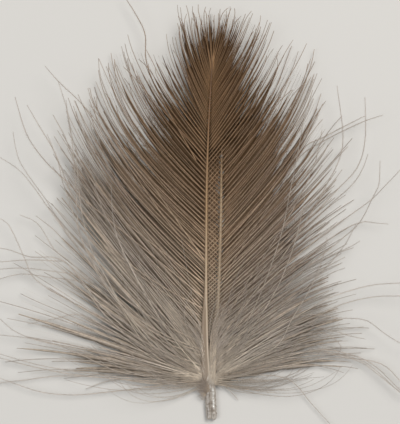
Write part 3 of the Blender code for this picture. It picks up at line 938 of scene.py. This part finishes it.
quill = {
    "seed": 51,
    # x, y, z, half width and half height along its middle, from the cut end up.
    "path": (
        (0.53, -25.22, 0.4, 0.6, 0.36),
        (0.54, -24.6, 0.4, 0.66, 0.37),
        (0.45, -23.3, 0.4, 0.685, 0.38),
        (0.4, -21.7, 0.44, 0.66, 0.39),
        (0.32, -20.9, 0.52, 0.64, 0.4),
        (0.26, -20.2, 0.58, 0.56, 0.38),
        (0.24, -19.5, 0.62, 0.38, 0.32),
        (0.26, -18.9, 0.66, 0.16, 0.22),
    ),
    # The rim of the hollow cut end: how far up the quill, and the share of its width.
    "rim": ((0.55, 0.4), (0.16, 0.58), (0.02, 0.72), (0.0, 0.86), (0.07, 0.96), (0.2, 1.0)),
    "rings": 96,
    "sides": 64,
    "notch": 0.12,  # how far the cut end is split between its two lobes
    "groove": 0.28,
    "wrinkle": 0.022,
    # Creases darkened with painted shade: place across, half width, lowest and highest y, strength.
    "shadedCreases": (
        (0.08, 0.09, -25.1, -23.6, 0.6), (-0.62, 0.1, -24.9, -23.6, 0.5),
        (0.4, 0.1, -24.95, -24.4, 0.7), (-0.2, 0.08, -23.4, -21.8, 0.3),
        (0.55, 0.07, -22.6, -21.2, 0.3),
    ),
    # Painted highlights, in the same way.
    "paintedHighlight": (
        (0.5, 0.16, -24.0, -21.2, 1.0), (0.8, 0.12, -25.1, -24.5, 0.8),
        (0.1, 0.12, -22.2, -20.2, 0.2), (0.45, 0.1, -25.25, -25.0, 0.8),
        (-0.85, 0.08, -25.0, -23.6, 0.2),
    ),
    # Stained, plain and pale horn, and where each lies in the noise that mixes them.
    "mottle": ((0.32, 0.46, 0.62), ((112, 98, 84), (150, 140, 129), (182, 174, 164))),
    # The colour of the painted shade in the creases, and of the painted highlights.
    "dark": (84, 74, 66),
    "highlightColour": (232, 231, 226),
    "root": (172, 160, 144),
    "gloss": {"Roughness": 0.3, "Coat Weight": 0.9, "Coat Roughness": 0.1},
}


def makeQuill(material):
    dice = np.random.default_rng(quill["seed"])
    rings, rim = quill["rings"], np.array(quill["rim"])
    spots, faces = barShape(quill["sides"], rings, 1)
    ring = np.rint(spots[:, 2] * (rings - 1)).astype(int)
    line = smoothLine(quill["path"], 400)
    walked, rest = walkedAlong(line), rings - len(rim) + 1
    up = np.r_[rim[:-1, 0], np.linspace(rim[-1, 0], walked[-1], rest)]
    full = np.r_[rim[:-1, 1], np.ones(rest)]
    columns = np.stack([np.interp(up, walked, column) for column in line.T], 1)[ring]
    angle = np.arctan2(spots[:, 1], spots[:, 0])
    across, above = np.cos(angle), np.sin(angle)
    near = np.clip(1 - up[ring] / 2.2, 0, 1)  # 1 at the cut end, 0 from 2.2 mm up
    dent = quill["groove"] * near * np.exp(-(((across - 0.08) / 0.2) ** 2))
    wrinkles = np.zeros(len(spots))
    for _ in range(7):
        turns, phase, slant = dice.uniform(5, 16), dice.uniform(0, 6.3), dice.normal(0, 1.2)
        wrinkles += np.sin(turns * up[ring] + slant * across + phase) / 4
    middle = np.clip(np.minimum(up[ring] / 0.6, (5.2 - up[ring]) / 1.0), 0, 1)
    swell = full[ring] * (1 + quill["wrinkle"] / 0.4 * wrinkles * middle)
    x = columns[:, 0] + columns[:, 3] * across * swell
    z = columns[:, 2] + columns[:, 4] * above * swell * (1 - dent)
    split = quill["notch"] * np.exp(-(((x - columns[:, 0] + 0.08) / 0.16) ** 2))
    y = columns[:, 1] + split * np.clip(1 - up[ring] / 0.8, 0, 1)
    grown = np.stack([x, y, np.maximum(z, 0.02)], 1)[None]
    marks = np.zeros((len(spots), 3))
    # Painted shade in the creases and painted highlights, on the upper side only.
    for column, name in enumerate(("shadedCreases", "paintedHighlight")):
        for place, half, low, high, strength in quill[name]:
            reach = np.clip(np.minimum(y - low, high - y) / 0.3, 0, 1)
            reach = reach * strength * np.exp(-(((across - place) / half) ** 2))
            marks[:, column] += reach * (above > 0)
    marks[:, 2] = np.clip((y + 21.1) / 1.1, 0, 1)  # where it passes into the shafts
    barb = np.clip(marks, 0, 1)[None]
    settle(joinSolid("quill", grown, faces, barb), material)


def makeQuillFinish():
    made = Finish("quillHorn")
    spot = made.node("TexCoord", {}, {}, 3)
    cloudy = made.node("TexNoise", {}, {0: spot, 2: 1800.0, 3: 3.0, 4: 0.6})
    fine = made.node("Mapping", {}, {0: spot, 3: (7000.0, 1500.0, 7000.0)})
    fibre = made.node("TexNoise", {}, {0: fine, 2: 1.0, 3: 3.0})
    crinkle = made.node("Mapping", {}, {0: spot, 3: (1500.0, 6500.0, 1500.0)})
    crinkle = made.node("TexNoise", {}, {0: crinkle, 2: 1.0, 3: 4.0})
    mottle = made.ramp(cloudy * 0.6 + fibre * 0.4, *quill["mottle"])
    crease, paintedHighlight, top = made.barbValues()
    mottle = made.mix(top, mottle, quill["root"])
    # The creases darkened with painted shade.
    mottle = made.mix(crease, mottle, quill["dark"])
    patchy = made.between(crinkle, 0.38, 0.56, 0.0, 1.0)
    # Painted highlights, in patches.
    mottle = made.mix(paintedHighlight * patchy, mottle, quill["highlightColour"])
    relief = fibre * 0.4 + crinkle * 0.6
    bump = made.node("Bump", {}, {"Strength": 0.7, "Distance": 0.00006, "Height": relief})
    made.shine({"Base Color": mottle, "Normal": bump, **quill["gloss"]})
    return made.material


knob = {"place": (1.76, 6.85, 0.38), "size": (0.17, 0.22, 0.15)}


def makeKnob(material):
    # The small pale swelling where the after-feather's shaft thins out.
    ball = bmesh.new()
    bmesh.ops.create_icosphere(ball, subdivisions=3, radius=mm)
    bmesh.ops.scale(ball, vec=knob["size"], verts=ball.verts)
    bmesh.ops.translate(ball, vec=[mm * value for value in knob["place"]], verts=ball.verts)
    mesh = bpy.data.meshes.new("shaftKnob")
    ball.to_mesh(mesh)
    ball.free()
    mesh.shade_smooth()
    settle(addObject("shaftKnob", mesh), material)


studio = {
    "floor": (214, 212, 208),
    "floorSize": 0.6,  # metres from its middle to its edge
    "sky": 0.33,
    # Where each lamp stands and how wide it is, in metres, then its power and its tint.
    "keyLamp": ((0.24, 0.26, 0.46), 0.34, 2.3, (1.0, 0.975, 0.94)),
    "fillLamp": ((-0.34, -0.06, 0.42), 0.35, 0.8, (0.96, 0.98, 1.0)),
}


def makeFloor():
    sheet = bmesh.new()
    bmesh.ops.create_grid(sheet, x_segments=1, y_segments=1, size=studio["floorSize"])
    mesh = bpy.data.meshes.new("floor")
    sheet.to_mesh(mesh)
    sheet.free()
    made = Finish("floorPaint")
    made.shine({"Base Color": studio["floor"], "Roughness": 0.9})
    mesh.materials.append(made.material)
    addObject("floor", mesh)


def makeLamp(name):
    lamp = bpy.data.lights.new(name, "AREA")
    lamp.shape = "DISK"
    place, lamp.size, lamp.energy, lamp.color = studio[name]
    thing = addObject(name, lamp)
    thing.location = place
    toward = thing.location.normalized()
    thing.rotation_euler = toward.to_track_quat("Z", "Y").to_euler()


def makeStudio():
    world = bpy.data.worlds.new("studio")
    world.use_nodes = True
    sky = world.node_tree.nodes["Background"]
    sky.inputs["Color"].default_value = (1, 1, 1, 1)
    sky.inputs["Strength"].default_value = studio["sky"]
    bpy.context.scene.world = world
    makeLamp("keyLamp")
    makeLamp("fillLamp")
    bpy.context.scene.view_settings.view_transform = "Standard"


def makeCamera():
    camera = bpy.data.cameras.new("camera")
    camera.lens = shot["lens"]
    camera.sensor_width = shot["sensor"]
    camera.clip_start = 0.01
    thing = addObject("camera", camera)
    x, y = middleX * shot["pixel"], middleY * shot["pixel"]
    thing.location = (x * mm, y * mm, cameraHeight * mm)
    bpy.context.scene.camera = thing


makeCamera()
makeStudio()
makeFloor()
print("made camera, lamps and floor")
downFinish = makeDown()
makePlumes(downFinish)
makeStrays(downFinish)
makeBaseFan(downFinish)
makeFuzz(downFinish)
makeShafts()
quillFinish = makeQuillFinish()
makeQuill(quillFinish)
makeKnob(quillFinish)
